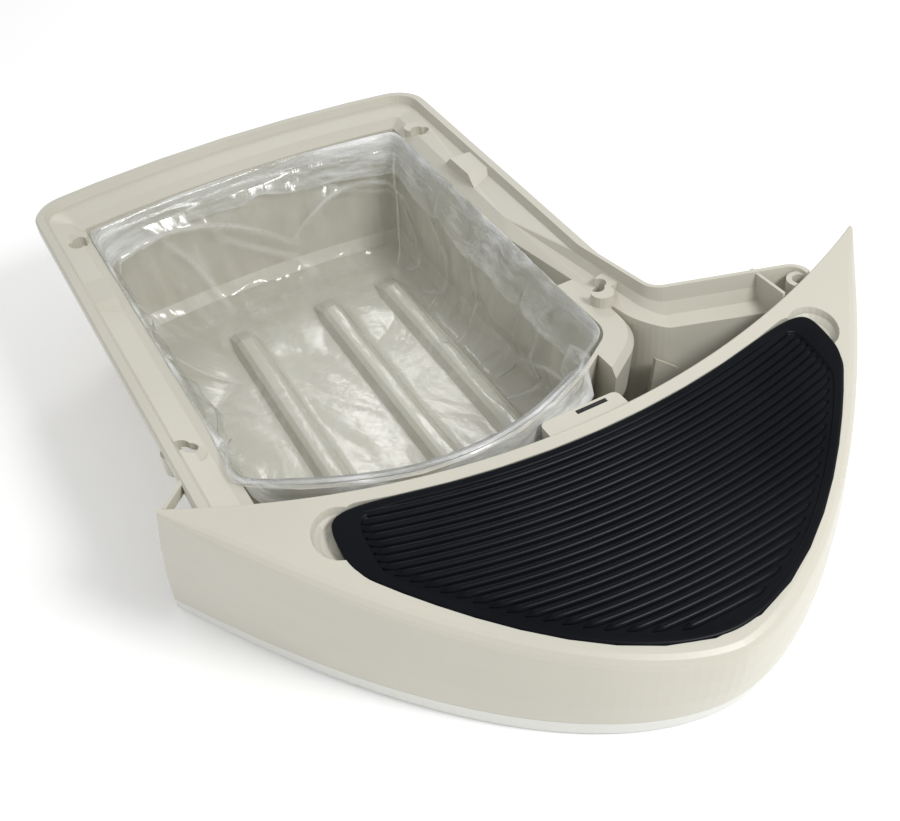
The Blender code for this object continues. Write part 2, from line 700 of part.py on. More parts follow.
def add_groove(builder, rear, width):
    """One curved groove tool, trapezoidal in section."""
    half = groove_half(rear + width)
    if half < 0.012:
        return
    count = max(4, round(half / 0.011))
    flare = 0.12 * width
    rows = []
    for i in range(count + 1):
        x = half * (2.0 * i / count - 1.0)
        y = mat_back_line(x) - rear
        top = MAT_PROUD + 0.001
        bottom = MAT_PROUD - RIB_HEIGHT
        row = ((y + flare, top), (y - flare, bottom), (y - width + flare, bottom), (y - width - flare, top))
        rows.append([builder.verts.new((x + MAT_SHIFT, py, step_top(py) + pz)) for py, pz in row])
    for a, b in zip(rows, rows[1:]):
        for i in range(4):
            j = (i + 1) % 4
            builder.faces.new((a[i], a[j], b[j], b[i]))
    builder.faces.new(rows[0])
    builder.faces.new(rows[-1])


# ---------------------------------------------------------------- liner and filter
def liner_outline():
    """The bin's whole inner plan at its mouth: the tub's rear and the bowed front wall."""
    rear = inset_polygon(tub_outline(), MOUTH_INSET)[:7]
    half = side_half(DIVIDER_REAR_Y) - MOUTH_INSET + 0.0008
    front = [(TUB_SHIFT - half, DIVIDER_CORNER_Y, DIVIDER_CORNER_R)]
    for share in (-0.75, -0.5, -0.25, 0.0, 0.25, 0.5, 0.75):
        bow = DIVIDER_BOW * (1.0 - share * share)
        front.append((TUB_SHIFT + half * share, DIVIDER_CORNER_Y - bow, 0.0))
    front.append((TUB_SHIFT + half, DIVIDER_CORNER_Y, DIVIDER_CORNER_R))
    return rear + front


def make_liner(material):
    """Film liner as a thin open tray that follows the bin's walls."""
    outline = liner_outline()
    lean = FLOOR_INSET - MOUTH_INSET + 0.004
    low = 0.0115 + FIT + 0.0004
    top = RIM_HEIGHT - LINER_TOP
    share = (MOUTH_Z - low) / (MOUTH_Z - FLOOR)
    gap = LINER_GAP + 0.0012
    outer = [ring(outline, gap + lean * share + 0.004, low),
             ring(outline, gap + lean * share * 0.97, low + 0.006),
             ring(outline, gap, MOUTH_Z),
             ring(outline, gap, top)]
    inner = [ring(outline, gap + lean * share + 0.004 + LINER_SKIN, low + LINER_SKIN),
             ring(outline, gap + lean * share * 0.97 + LINER_SKIN, low + 0.006 + LINER_SKIN),
             ring(outline, gap + LINER_SKIN, MOUTH_Z),
             ring(outline, gap + LINER_SKIN, top + 0.01)]
    liner = loft("liner_bag", outer, material)
    cut(liner, loft("liner_hollow", inner))
    return liner


def holder_frame():
    """Where the holder hangs: behind the step's rear flange, turned along it."""
    slope = (step_back(HOLDER_X + 0.01) - step_back(HOLDER_X - 0.01)) / 0.02
    along = Vector((1.0, slope)).normalized()
    rearward = Vector((-along.y, along.x))
    reach = 0.5 * HOLDER_SIZE[1] + 0.0012
    centre = Vector((HOLDER_X, step_back(HOLDER_X))) + rearward * reach
    return centre, along, -rearward


def turned_box(name, centre, along, outward, half_length, half_depth, low, high, material=None,
               end_r=0.0):
    corners = []
    for a, b in ((-1, 1), (1, 1), (1, -1), (-1, -1)):
        spot = centre + along * (a * half_length) - outward * (b * half_depth)
        corners.append((spot.x, spot.y, end_r))
    corners.reverse()
    points = rounded(corners, 4) if end_r else [Vector(c[:2]) for c in corners]
    return prism(name, points, low, high, material)


def make_filter(holder_material, pad_material):
    centre, along, outward = holder_frame()
    length, depth, height = HOLDER_SIZE
    top = RIM_HEIGHT - HOLDER_TOP
    holder = turned_box("filter_holder", centre, along, outward, 0.5 * length, 0.5 * depth,
                        top - height, top, holder_material, 0.0045)
    slot_half = 0.5 * SLOT_SIZE[0]
    slot_deep = 0.5 * SLOT_SIZE[1]
    middle = centre + along * SLOT_SHIFT[0] - outward * SLOT_SHIFT[1]
    cut(holder, turned_box("filter_slot", middle, along, outward, slot_half, slot_deep,
                           top - height + HOLDER_WALL, top + 0.01))
    pad = turned_box("carbon_filter", middle, along, outward, slot_half - SLIP, slot_deep - SLIP,
                     top - height + HOLDER_WALL + FIT, top + FILTER_PROUD, pad_material)
    return holder, pad


def make_screw(index, post, material):
    """Self-tapping screw that enters from under the tub."""
    head_low = 0.0004
    shank_low = head_low + SCREW_HEAD
    rings = []
    for z, radius in ((head_low, SCREW_HEAD_R - 0.0005), (head_low + 0.0006, SCREW_HEAD_R),
                      (shank_low - 0.0004, SCREW_HEAD_R), (shank_low, SCREW_R),
                      (SCREW_LENGTH, SCREW_R), (SCREW_LENGTH + 0.002, 0.0005)):
        rings.append([Vector((x, y, z)) for x, y in circle(post, radius, 14)])
    return loft(f"cover_screw_{index + 1}", rings, material)


def build():
    for thing in list(bpy.data.objects):
        bpy.data.objects.remove(thing, do_unlink=True)
    beige = plastic("beige_plastic", BEIGE, 0.38)
    pale = plastic("pale_plastic", PALE_BEIGE, 0.45)
    rubber = plastic("black_rubber", RUBBER_BLACK, 0.42)
    film = plastic("liner_film", FILM, 0.25)
    carbon = plastic("carbon_foam", CARBON, 0.9)
    steel = plastic("screw_steel", STEEL, 0.35, 1.0)
    make_tub(beige)
    make_cover(beige)
    make_strip(pale)
    make_mat(rubber)
    make_liner(film)
    make_filter(beige, carbon)
    for index, post in enumerate(POSTS):
        make_screw(index, post, steel)


build()
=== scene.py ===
"""Visual model of the pull-out waste drawer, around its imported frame."""

import math

import bmesh
import bpy
from mathutils import Matrix, Vector, noise


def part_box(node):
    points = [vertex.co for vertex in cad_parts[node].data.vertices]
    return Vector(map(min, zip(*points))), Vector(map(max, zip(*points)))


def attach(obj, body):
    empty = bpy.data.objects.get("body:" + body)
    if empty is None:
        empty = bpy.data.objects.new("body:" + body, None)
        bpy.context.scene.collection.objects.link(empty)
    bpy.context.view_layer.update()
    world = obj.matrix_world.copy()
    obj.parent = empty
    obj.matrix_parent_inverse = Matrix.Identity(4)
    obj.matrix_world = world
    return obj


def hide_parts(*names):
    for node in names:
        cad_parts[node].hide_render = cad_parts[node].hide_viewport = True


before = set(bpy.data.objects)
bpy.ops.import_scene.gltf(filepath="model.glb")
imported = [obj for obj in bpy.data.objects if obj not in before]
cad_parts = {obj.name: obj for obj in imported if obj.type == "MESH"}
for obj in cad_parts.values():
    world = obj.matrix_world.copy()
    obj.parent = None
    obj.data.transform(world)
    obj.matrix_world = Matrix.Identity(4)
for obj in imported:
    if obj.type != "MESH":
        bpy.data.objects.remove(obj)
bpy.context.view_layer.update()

TUB_X = -0.0666             # the bin's centre line
RIM_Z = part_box("drawer_tub")[1][2]


# ---------------------------------------------------------------- node helpers
def new_material(name):
    material = bpy.data.materials.new(name)
    material.use_nodes = True
    tree = material.node_tree
    return material, tree, tree.nodes["Principled BSDF"]


def node(tree, kind, **values):
    """Add a node; values are attributes, or input sockets by name with _ for spaces."""
    made = tree.nodes.new(kind)
    for key, value in values.items():
        if hasattr(made, key):
            setattr(made, key, value)
        else:
            made.inputs[key.replace("_", " ")].default_value = value
    return made


def object_coords(tree):
    return tree.nodes.new("ShaderNodeTexCoord").outputs["Object"]


def noise_factor(tree, coords, scale, detail=3.0, roughness=0.5, stretch=None):
    source = coords
    if stretch:
        mapping = node(tree, "ShaderNodeMapping")
        mapping.inputs["Scale"].default_value = stretch
        tree.links.new(coords, mapping.inputs["Vector"])
        source = mapping.outputs["Vector"]
    made = node(tree, "ShaderNodeTexNoise", Scale=scale, Detail=detail, Roughness=roughness)
    tree.links.new(source, made.inputs["Vector"])
    return made.outputs["Fac"]


def ramp(tree, factor, stops):
    made = tree.nodes.new("ShaderNodeValToRGB")
    elements = made.color_ramp.elements
    while len(elements) < len(stops):
        elements.new(0.5)
    for element, (spot, colour) in zip(elements, stops):
        element.position = spot
        element.color = (*colour, 1.0)
    tree.links.new(factor, made.inputs["Fac"])
    return made.outputs["Color"]


def span(tree, factor, low, high, from_low=0.0, from_high=1.0):
    made = tree.nodes.new("ShaderNodeMapRange")
    made.inputs["From Min"].default_value = from_low
    made.inputs["From Max"].default_value = from_high
    made.inputs["To Min"].default_value = low
    made.inputs["To Max"].default_value = high
    tree.links.new(factor, made.inputs["Value"])
    return made.outputs["Result"]


def bump(tree, shader, height, strength, distance, normal=None):
    made = tree.nodes.new("ShaderNodeBump")
    made.inputs["Strength"].default_value = strength
    made.inputs["Distance"].default_value = distance
    tree.links.new(height, made.inputs["Height"])
    if normal:
        tree.links.new(normal, made.inputs["Normal"])
    if shader:
        tree.links.new(made.outputs["Normal"], shader.inputs["Normal"])
    return made.outputs["Normal"]


# ---------------------------------------------------------------- materials
def moulded_plastic(name, low, high, roughness=0.36, grain=0.05):
    """Moulded ABS: faint mottling, a fine spark-eroded grain and slow waviness."""
    material, tree, shader = new_material(name)
    coords = object_coords(tree)
    slow = noise_factor(tree, coords, 7.0, 2.0)
    tree.links.new(ramp(tree, slow, ((0.3, low), (0.7, high))), shader.inputs["Base Color"])
    gloss = noise_factor(tree, coords, 40.0, 3.0)
    sheen = span(tree, gloss, roughness - 0.05, roughness + 0.06)
    tree.links.new(sheen, shader.inputs["Roughness"])
    fine = noise_factor(tree, coords, 900.0, 2.0, 0.6)
    fine_normal = bump(tree, None, fine, grain, 0.0004)
    wavy = noise_factor(tree, coords, 22.0, 1.0)
    bump(tree, shader, wavy, 0.05, 0.002, fine_normal)
    shader.inputs["Specular IOR Level"].default_value = 0.5
    shader.inputs["Subsurface Weight"].default_value = 0.08
    shader.inputs["Subsurface Scale"].default_value = 0.004
    shader.inputs["Subsurface Radius"].default_value = (1.0, 0.85, 0.6)
    return material


def mat_rubber():
    """Near-black moulded rubber, a little blue, with dusty and polished patches."""
    material, tree, shader = new_material("ribbed_black_rubber")
    coords = object_coords(tree)
    patches = noise_factor(tree, coords, 14.0, 4.0)
    colours = ((0.35, (0.0030, 0.0036, 0.0055)), (0.7, (0.0055, 0.0066, 0.0092)))
    tree.links.new(ramp(tree, patches, colours), shader.inputs["Base Color"])
    gloss = noise_factor(tree, coords, 60.0, 4.0, 0.6)
    tree.links.new(span(tree, gloss, 0.24, 0.38), shader.inputs["Roughness"])
    fine = noise_factor(tree, coords, 1400.0, 2.0, 0.7)
    bump(tree, shader, fine, 0.10, 0.0003)
    shader.inputs["Specular IOR Level"].default_value = 0.09
    return material


def plain_foam():
    material, tree, shader = new_material("open_cell_foam")
    coords = object_coords(tree)
    cells = node(tree, "ShaderNodeTexVoronoi", Scale=900.0)
    tree.links.new(coords, cells.inputs["Vector"])
    # Painted shade: the colour darkens towards each cell's middle, where the bump below sinks a
    # pit.
    colours = ((0.0, (0.004, 0.004, 0.004)), (0.6, (0.03, 0.03, 0.032)))
    tree.links.new(ramp(tree, cells.outputs["Distance"], colours), shader.inputs["Base Color"])
    shader.inputs["Roughness"].default_value = 0.95
    bump(tree, shader, cells.outputs["Distance"], 0.6, 0.0006)
    return material


def screw_steel():
    material, tree, shader = new_material("zinc_steel")
    coords = object_coords(tree)
    streak = noise_factor(tree, coords, 500.0, 3.0)
    colours = ((0.3, (0.42, 0.42, 0.44)), (0.7, (0.62, 0.62, 0.62)))
    tree.links.new(ramp(tree, streak, colours), shader.inputs["Base Color"])
    tree.links.new(span(tree, streak, 0.25, 0.45), shader.inputs["Roughness"])
    shader.inputs["Metallic"].default_value = 1.0
    return material


IVORY = moulded_plastic("ivory_moulded_plastic", (0.545, 0.527, 0.452), (0.580, 0.560, 0.482))
# The foot strip's plastic is paler and less yellow than the ivory: partly a lighter trim plastic,
# partly a painted reflection of the white floor.
PALE_TRIM_AND_REFLECTION = moulded_plastic("pale_trim_and_floor_reflection", (0.70, 0.70, 0.665), (0.74, 0.74, 0.705), 0.45)
HOLDER = moulded_plastic("holder_plastic", (0.57, 0.55, 0.47), (0.60, 0.58, 0.50), 0.42)
RUBBER = mat_rubber()
FOAM = plain_foam()
STEEL = screw_steel()

CAD_MATERIALS = {"drawer_tub": IVORY, "step_cover": IVORY, "skirt_foot_strip": PALE_TRIM_AND_REFLECTION,
                 "filter_holder": HOLDER, "carbon_filter": FOAM, "step_mat": RUBBER}
CAD_MATERIALS.update({f"cover_screw_{i}": STEEL for i in (1, 2, 3, 4)})


def dress(name, material, bevel, angle=30.0):
    """Give a CAD node its material, smooth shading and softened edges."""
    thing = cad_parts[name]
    thing.data.materials.clear()
    thing.data.materials.append(material)
    for face in thing.data.polygons:
        face.use_smooth = True
    if bevel:
        made = thing.modifiers.new("soft_edges", "BEVEL")
        made.width = bevel
        made.segments = 2
        made.limit_method = "ANGLE"
        made.angle_limit = math.radians(angle)
        made.use_clamp_overlap = True
        made.harden_normals = True
    weighted = thing.modifiers.new("even_shading", "WEIGHTED_NORMAL")
    weighted.keep_sharp = True
    return thing


for cad_name, cad_material in CAD_MATERIALS.items():
    dress(cad_name, cad_material, 0.0012 if cad_name in ("drawer_tub", "step_cover") else 0.0)


# ---------------------------------------------------------------- film liner
BIN_CENTRE = Vector((TUB_X, 0.075))
MOUTH_Z = RIM_Z - 0.017
MOUTH_REAR_HALF = 0.1360
MOUTH_REAR_Y = 0.2590
MOUTH_REAR_BOW = 0.0168
MOUTH_FRONT_HALF = 0.1290
MOUTH_FRONT_Y = -0.078
MOUTH_FRONT_BOW = 0.054
FLOOR_Z = 0.003
LEAN = 0.012                # the bin's wall leans in this much from mouth to floor
RIDGES = (-0.117, -0.041, 0.016)
RIDGE_HEIGHT = 0.0085
FILM_OFF = 0.0006           # least height of the film above the floor and its ridges
FILM_COLUMNS = 560
MOUTH_PROBES = 720          # directions at which the mouth's length is measured
WALL_ROWS = 34
FILLET_ROWS = 10
FLOOR_ROWS = 34


def mouth_edges():
    """Outward normal and offset of every straight edge of the bin's mouth."""
    corners = []
    for share in (-1.0, -0.6, -0.2, 0.2, 0.6, 1.0):
        bow = MOUTH_REAR_BOW * (1.0 - share * share)
        corners.append(Vector((TUB_X - MOUTH_REAR_HALF * share, MOUTH_REAR_Y + bow)))
    for share in (-1.0, -0.75, -0.5, -0.25, 0.0, 0.25, 0.5, 0.75, 1.0):
        bow = MOUTH_FRONT_BOW * (1.0 - share * share)
        corners.append(Vector((TUB_X + MOUTH_FRONT_HALF * share, MOUTH_FRONT_Y - bow)))
    edges = []
    for i, here in enumerate(corners):
        after = corners[(i + 1) % len(corners)]
        along = (after - here).normalized()
        outward = Vector((along.y, -along.x))
        edges.append((outward, outward.dot(here - BIN_CENTRE)))
    return edges


MOUTH_EDGES = mouth_edges()


def reach(direction, inset, sharpness=46.0):
    """Distance from the bin's centre to its wall, moved in by inset, corners rounded."""
    total = 0.0
    for outward, offset in MOUTH_EDGES:
        facing = outward.dot(direction)
        if facing > 0.01:
            total += ((offset - inset) / facing) ** -sharpness
    return total ** (-1.0 / sharpness)


def crease(x, y, z):
    """Sharp-valleyed folds, 0 in the valley to about 1 between."""
    return min(1.0, 2.2 * abs(noise.noise(Vector((x, y, z)))))


def ridge_height(x, y):
    """Height of the bin's floor with its lengthwise ridges."""
    best = 0.0
    for middle in RIDGES:
        across = max(0.0, 1.0 - max(0.0, abs(x - middle) - 0.004) / 0.009)
        along = min(1.0, max(0.0, (0.200 - y) / 0.02)) * min(1.0, max(0.0, (y + 0.060) / 0.015))
        best = max(best, across * along)
    return FLOOR_Z + RIDGE_HEIGHT * best


def smooth(value):
    value = min(1.0, max(0.0, value))
    return value * value * (3.0 - 2.0 * value)


def bag_profile(angle):
    """Rows (inset, height, zone) of the film at one direction: cuff, top fold, wall.

    The cuff hangs inside the bin at the sides and rear, and swings out over the front wall.
    """
    c, s = math.cos(angle), math.sin(angle)
    front = smooth((-s - 0.60) / 0.26) * smooth((0.55 - c) / 0.12)
    right = smooth((c - 0.30) / 0.4)
    rear = smooth((s - 0.45) / 0.4)
    rear_left = smooth((0.6 - abs(angle - 2.25)) / 0.5)
    ripple = noise.noise(Vector((3.0 * c, 3.0 * s, 1.7)))
    flutter = noise.noise(Vector((9.0 * c, 9.0 * s, 4.1)))
    hang = 0.021 + 0.014 * right + 0.007 * rear - 0.002 * front + 0.009 * ripple + 0.004 * flutter
    hang *= 0.45 + 0.55 * abs(2.0 * front - 1.0)
    crown = MOUTH_Z + 0.0014 + 0.0006 * flutter + 0.0022 * front
    over = 0.0058 * front
    slack = 0.0012 + 0.0060 * right + 0.002 * ripple
    swing = math.radians(264.0 - 334.0 * front)
    fillet = 0.016 + 0.010 * ripple + 0.030 * rear_left + 0.012 * front
    rows = []
    for share in (1.0, 0.82, 0.64, 0.47, 0.31, 0.17, 0.07):
        across = hang * share * math.cos(swing) * (0.25 + 0.75 * abs(math.sin(swing)))
        inward = (0.0022 + slack * share ** 0.8) * (1.0 - front) - over - across
        rows.append((inward, crown + hang * share * math.sin(swing), 0))
    rows += [(0.0014 - 0.0020 * front, crown - 0.0003, 0), (0.0006 - over, crown, 0),
             (0.0002 - over, crown - 0.0010, 0),
             (0.0012 - 0.0005 * front, crown - 0.004 + 0.0026 * front, 0),
             (0.0020, crown - 0.010, 0)]
    start = crown - 0.010
    foot = FLOOR_Z + fillet
    for i in range(1, WALL_ROWS + 1):
        z = start + (foot - start) * i / WALL_ROWS
        rows.append((0.0024 + LEAN * (MOUTH_Z - z) / (MOUTH_Z - FLOOR_Z), z, 1))
    low_inset = rows[-1][0]
    for i in range(1, FILLET_ROWS + 1):
        turn = 0.5 * math.pi * i / FILLET_ROWS
        inward = low_inset + fillet * (1.0 - math.cos(turn))
        rows.append((inward, foot - fillet * math.sin(turn), 1))
    return rows


TENTS = ((2.02, 0.62, 0.030, 0.082, 0.0075),    # long folds: middle and half angle, end and
         (1.10, 0.30, 0.040, 0.070, 0.0050),    # crown height, and how far each stands out
         (3.60, 0.45, 0.035, 0.060, 0.0060),
         (5.20, 0.50, 0.030, 0.055, 0.0060))
UPRIGHT_FOLDS = ((0.93, 0.045, 0.0090), (0.60, 0.030, 0.0050), (0.10, 0.035, 0.0060),
                 (5.62, 0.030, 0.0070), (5.80, 0.025, 0.0060), (2.42, 0.030, 0.0060),
                 (4.05, 0.035, 0.0060), (3.30, 0.025, 0.0045))


def turn_between(angle, middle):
    return (angle - middle + math.pi) % (2.0 * math.pi) - math.pi


def bag_point(angle, row, index):
    """A film point with its folds, and how near it lies to a sharp crease, for the painted
    highlight lines.
    """
    inset, z, zone = row
    direction = Vector((math.cos(angle), math.sin(angle)))
    spot = BIN_CENTRE + direction * reach(direction, inset)
    x, y = spot
    if zone == 0:
        fold = crease(x * 15.0, y * 15.0, z * 60.0 + 3.0)
        push = 0.0016 * fold if index < 7 else 0.0
        return Vector((x, y, z)) - Vector((direction.x, direction.y, 0.0)) * push, 0.0
    hanging = smooth((MOUTH_Z - z) / 0.03)
    long_fold = crease(x * 11.0 + z * 8.0, y * 11.0 - z * 6.0, z * 9.0)
    fold = crease(x * 27.0 - z * 12.0, y * 27.0 + z * 10.0, z * 11.0 + 5.0)
    fine = crease(x * 64.0 + z * 20.0, y * 64.0, z * 26.0)
    push = hanging * (0.0075 * long_fold + 0.0028 * fold + 0.0007 * fine)
    line = max(0.0, 1.0 - 9.0 * long_fold) * 0.5 * hanging
    for middle, half, low, high, depth in TENTS:
        share = turn_between(angle, middle) / half
        if abs(share) < 1.0:
            strength = 1.0 - share * share
            away = abs(z - (low + (high - low) * strength))
            push += depth * strength * max(0.0, 1.0 - away / 0.020) ** 1.3
            line = max(line, strength ** 0.5 * max(0.0, 1.0 - away / 0.0035))
    for middle, width, depth in UPRIGHT_FOLDS:
        off = abs(turn_between(angle, middle))
        push += hanging * depth * max(0.0, 1.0 - off / width) ** 1.2
        line = max(line, 0.8 * hanging * max(0.0, 1.0 - off / (0.16 * width)))
    point = Vector((x, y, z)) + Vector((-direction.x, -direction.y, 0.25)) * push
    point.z = max(point.z, ridge_height(point.x, point.y) + FILM_OFF)
    return point, line


def floor_point(x, y):
    """The film where it lies on the bin's floor and over its ridges."""
    drape = 0.0035 + 0.0026 * crease(x * 13.0, y * 7.0, 2.0)
    drape += 0.0011 * crease(x * 34.0 + y * 9.0, y * 15.0, 6.0)
    drape += 0.0002 * crease(x * 85.0, y * 50.0, 8.0)
    return ridge_height(x, y) + drape - 0.0022


def even_angles():
    """Directions from the bin's centre that space the film's columns evenly round the mouth."""
    rim = []
    for i in range(MOUTH_PROBES):
        angle = 2.0 * math.pi * i / MOUTH_PROBES
        direction = Vector((math.cos(angle), math.sin(angle)))
        rim.append(BIN_CENTRE + direction * reach(direction, 0.0))
    lengths = [0.0]
    for i in range(MOUTH_PROBES):
        lengths.append(lengths[-1] + (rim[(i + 1) % MOUTH_PROBES] - rim[i]).length)
    angles = []
    cursor = 0
    for i in range(FILM_COLUMNS):
        want = lengths[-1] * i / FILM_COLUMNS
        while lengths[cursor + 1] < want:
            cursor += 1
        part = (want - lengths[cursor]) / (lengths[cursor + 1] - lengths[cursor])
        angles.append(2.0 * math.pi * (cursor + part) / MOUTH_PROBES)
    return angles


def make_bag():
    angles = even_angles()
    columns = []
    creases = []
    zones = []
    for angle in angles:
        rows = bag_profile(angle)
        made = [bag_point(angle, row, index) for index, row in enumerate(rows)]
        column = [point for point, _ in made]
        lines = [line for _, line in made]
        zones = [row[2] for row in rows]
        edge = column[-1]
        for i in range(1, FLOOR_ROWS):
            share = i / FLOOR_ROWS
            flat = edge.xy.lerp(BIN_CENTRE, share)
            z = floor_point(flat.x, flat.y)
            blend = smooth(share / 0.16)
            lowest = ridge_height(flat.x, flat.y) + FILM_OFF
            column.append(Vector((flat.x, flat.y, max(lowest, edge.z + (z - edge.z) * blend))))
            zones.append(1)
            lines.append(0.0)
        columns.append(column)
        creases.append(lines)

    builder = bmesh.new()
    grid = [[builder.verts.new(point) for point in column] for column in columns]
    centre = builder.verts.new((*BIN_CENTRE, floor_point(*BIN_CENTRE)))
    count = len(grid[0])
    for i in range(FILM_COLUMNS):
        here, there = grid[i], grid[(i + 1) % FILM_COLUMNS]
        for j in range(count - 1):
            face = builder.faces.new((here[j], there[j], there[j + 1], here[j + 1]))
            face.material_index = zones[j + 1]
        face = builder.faces.new((here[-1], there[-1], centre))
        face.material_index = 1
    mesh = bpy.data.meshes.new("film_bag")
    builder.to_mesh(mesh)
    builder.free()
    # Per point: a map for the streaks, and nearness to a sharp crease, which paints highlight
    # lines on the film.
    mesh.attributes.new("film_map", "FLOAT_VECTOR", "POINT")
    mesh.attributes.new("film_crease_highlight", "FLOAT", "POINT")
    spread = mesh.attributes["film_map"]
    sharp = mesh.attributes["film_crease_highlight"]
    for i, angle in enumerate(angles):
        column = columns[i]
        longest = (column[0] - column[count - FLOOR_ROWS]).length + 0.03
        run = 0.0
        for j in range(count):
            if j:
                run += (column[j] - column[j - 1]).length
            near = min(1.0, (count - j) / FLOOR_ROWS)
            place = (near * math.cos(angle), near * math.sin(angle), min(run, longest))
            spread.data[i * count + j].vector = place
            sharp.data[i * count + j].value = creases[i][j]
    spread.data[FILM_COLUMNS * count].vector = (0.0, 0.0, 0.13)
    for face in mesh.polygons:
        face.use_smooth = True
    mesh.materials.append(film("liner_cuff_film", 0.16, 0.72, (3.0, 3.0, 95.0)))
    mesh.materials.append(film("liner_clear_film", 0.01, 0.15, (10.0, 10.0, 9.0)))
    bag = bpy.data.objects.new("film_bag", mesh)
    bpy.context.scene.collection.objects.link(bag)
    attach(bag, "liner")
    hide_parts("liner_bag")
    return bag


def film(name, clear, hazy, stretch):
    """Thin polythene: see-through, glossy, milky in streaks, and painted whiter along its creases
    as highlight lines.
    """
    material = bpy.data.materials.new(name)
    material.use_nodes = True
    tree = material.node_tree
    tree.nodes.clear()
    out = node(tree, "ShaderNodeOutputMaterial")
    spread = node(tree, "ShaderNodeAttribute", attribute_name="film_map").outputs["Vector"]
    sharp = node(tree, "ShaderNodeAttribute", attribute_name="film_crease_highlight").outputs["Fac"]
    coords = object_coords(tree)
    streaks = noise_factor(tree, spread, 1.0, 5.0, 0.65, stretch)
    broad = noise_factor(tree, coords, 17.0, 2.0)
    fine = noise_factor(tree, coords, 120.0, 3.0, 0.6)
    first = bump(tree, None, streaks, 0.30, 0.003)
    normal = bump(tree, None, fine, 0.10, 0.0010, first)
    gloss = node(tree, "ShaderNodeBsdfGlossy", Roughness=0.15)
    gloss.inputs["Color"].default_value = (0.9, 0.9, 0.9, 1.0)
    tree.links.new(normal, gloss.inputs["Normal"])
    through = node(tree, "ShaderNodeBsdfTransparent")
    through.inputs["Color"].default_value = (0.97, 0.975, 0.97, 1.0)
    edge_on = node(tree, "ShaderNodeLayerWeight", Blend=0.5)
    tree.links.new(normal, edge_on.inputs["Normal"])
    power = node(tree, "ShaderNodeMath", operation="POWER")
    power.inputs[1].default_value = 2.8
    tree.links.new(edge_on.outputs["Facing"], power.inputs[0])
    surface = node(tree, "ShaderNodeMixShader")
    tree.links.new(span(tree, power.outputs[0], 0.045, 0.62), surface.inputs["Fac"])
    tree.links.new(through.outputs[0], surface.inputs[1])
    tree.links.new(gloss.outputs[0], surface.inputs[2])
    milk = node(tree, "ShaderNodeBsdfPrincipled")
    milk.inputs["Base Color"].default_value = (0.90, 0.91, 0.905, 1.0)
    milk.inputs["Roughness"].default_value = 0.25
    tree.links.new(normal, milk.inputs["Normal"])
    haze = span(tree, streaks, clear, hazy, 0.40, 0.66)
    patch = node(tree, "ShaderNodeMath", operation="MULTIPLY")
    tree.links.new(haze, patch.inputs[0])
    tree.links.new(span(tree, broad, 0.45, 1.35, 0.35, 0.65), patch.inputs[1])
    # Painted highlight: the crease attribute mixes the milky white in along sharp folds.
    lines = node(tree, "ShaderNodeMath", operation="MULTIPLY_ADD", use_clamp=True)
    tree.links.new(sharp, lines.inputs[0])
    lines.inputs[1].default_value = 0.45
    tree.links.new(patch.outputs[0], lines.inputs[2])
    result = node(tree, "ShaderNodeMixShader")
    tree.links.new(lines.outputs[0], result.inputs["Fac"])
    tree.links.new(surface.outputs[0], result.inputs[1])
    tree.links.new(milk.outputs[0], result.inputs[2])
    tree.links.new(result.outputs[0], out.inputs["Surface"])
    return material


make_bag()


# ---------------------------------------------------------------- ribbed mat
MAT_HALF = 0.170
MAT_SHIFT = 0.003
MAT_BACK_Y = -0.161
MAT_CORNER_Y = -0.139
MAT_SIDE_Y = -0.178
MAT_FRONT_Y = -0.2975
MAT_FRONT_POWER = 1.76
MAT_PROUD = 0.0008
MAT_DEPTH = 0.0034          # of its underside below the step's top
MAT_CENTRE = Vector((0.0, -0.212))
MAT_RING_POINTS = 540
RIBS = 25
RIB_HEIGHT = 0.0016
RIB_WIDTH_SHARE = 0.40      # half a rib's width, as a share of the pitch
RIB_END = 0.003             # length over which a rib's end rounds off
LONG_BORDER = 0.0050
END_BORDER = 0.0150


def step_top(y):
    return 0.1277 - 0.278 * (-0.098 - y)


def mat_back(x):
    share = x / (0.95 * MAT_HALF)
    return MAT_CORNER_Y - (MAT_CORNER_Y - MAT_BACK_Y) * (1.0 - share * share)


def mat_front(x):
    share = min(1.0, abs(x / MAT_HALF))
    return MAT_SIDE_Y - (MAT_SIDE_Y - MAT_FRONT_Y) * (1.0 - share ** MAT_FRONT_POWER)


def front_slope(x):
    """How steep the mat's front edge is at x."""
    share = min(1.0, abs(x / MAT_HALF))
    drop = MAT_SIDE_Y - MAT_FRONT_Y
    return MAT_FRONT_POWER * drop / MAT_HALF * share ** (MAT_FRONT_POWER - 1.0)


def mat_polygon(end, back_in, front_in):
    """Plan corners of the mat or its rib field, counter-clockwise."""
    points = []
    for i in range(41):
        x = end * (1.0 - 2.0 * i / 40.0) * 0.99
        points.append(Vector((x, mat_back(x) - back_in)))
    for i in range(81):
        x = end * (-1.0 + 2.0 * i / 80.0)
        y = mat_front(x) + front_in * math.hypot(1.0, front_slope(x))
        if y < mat_back(x) - back_in - 0.004:
            points.append(Vector((x, y)))
    return points


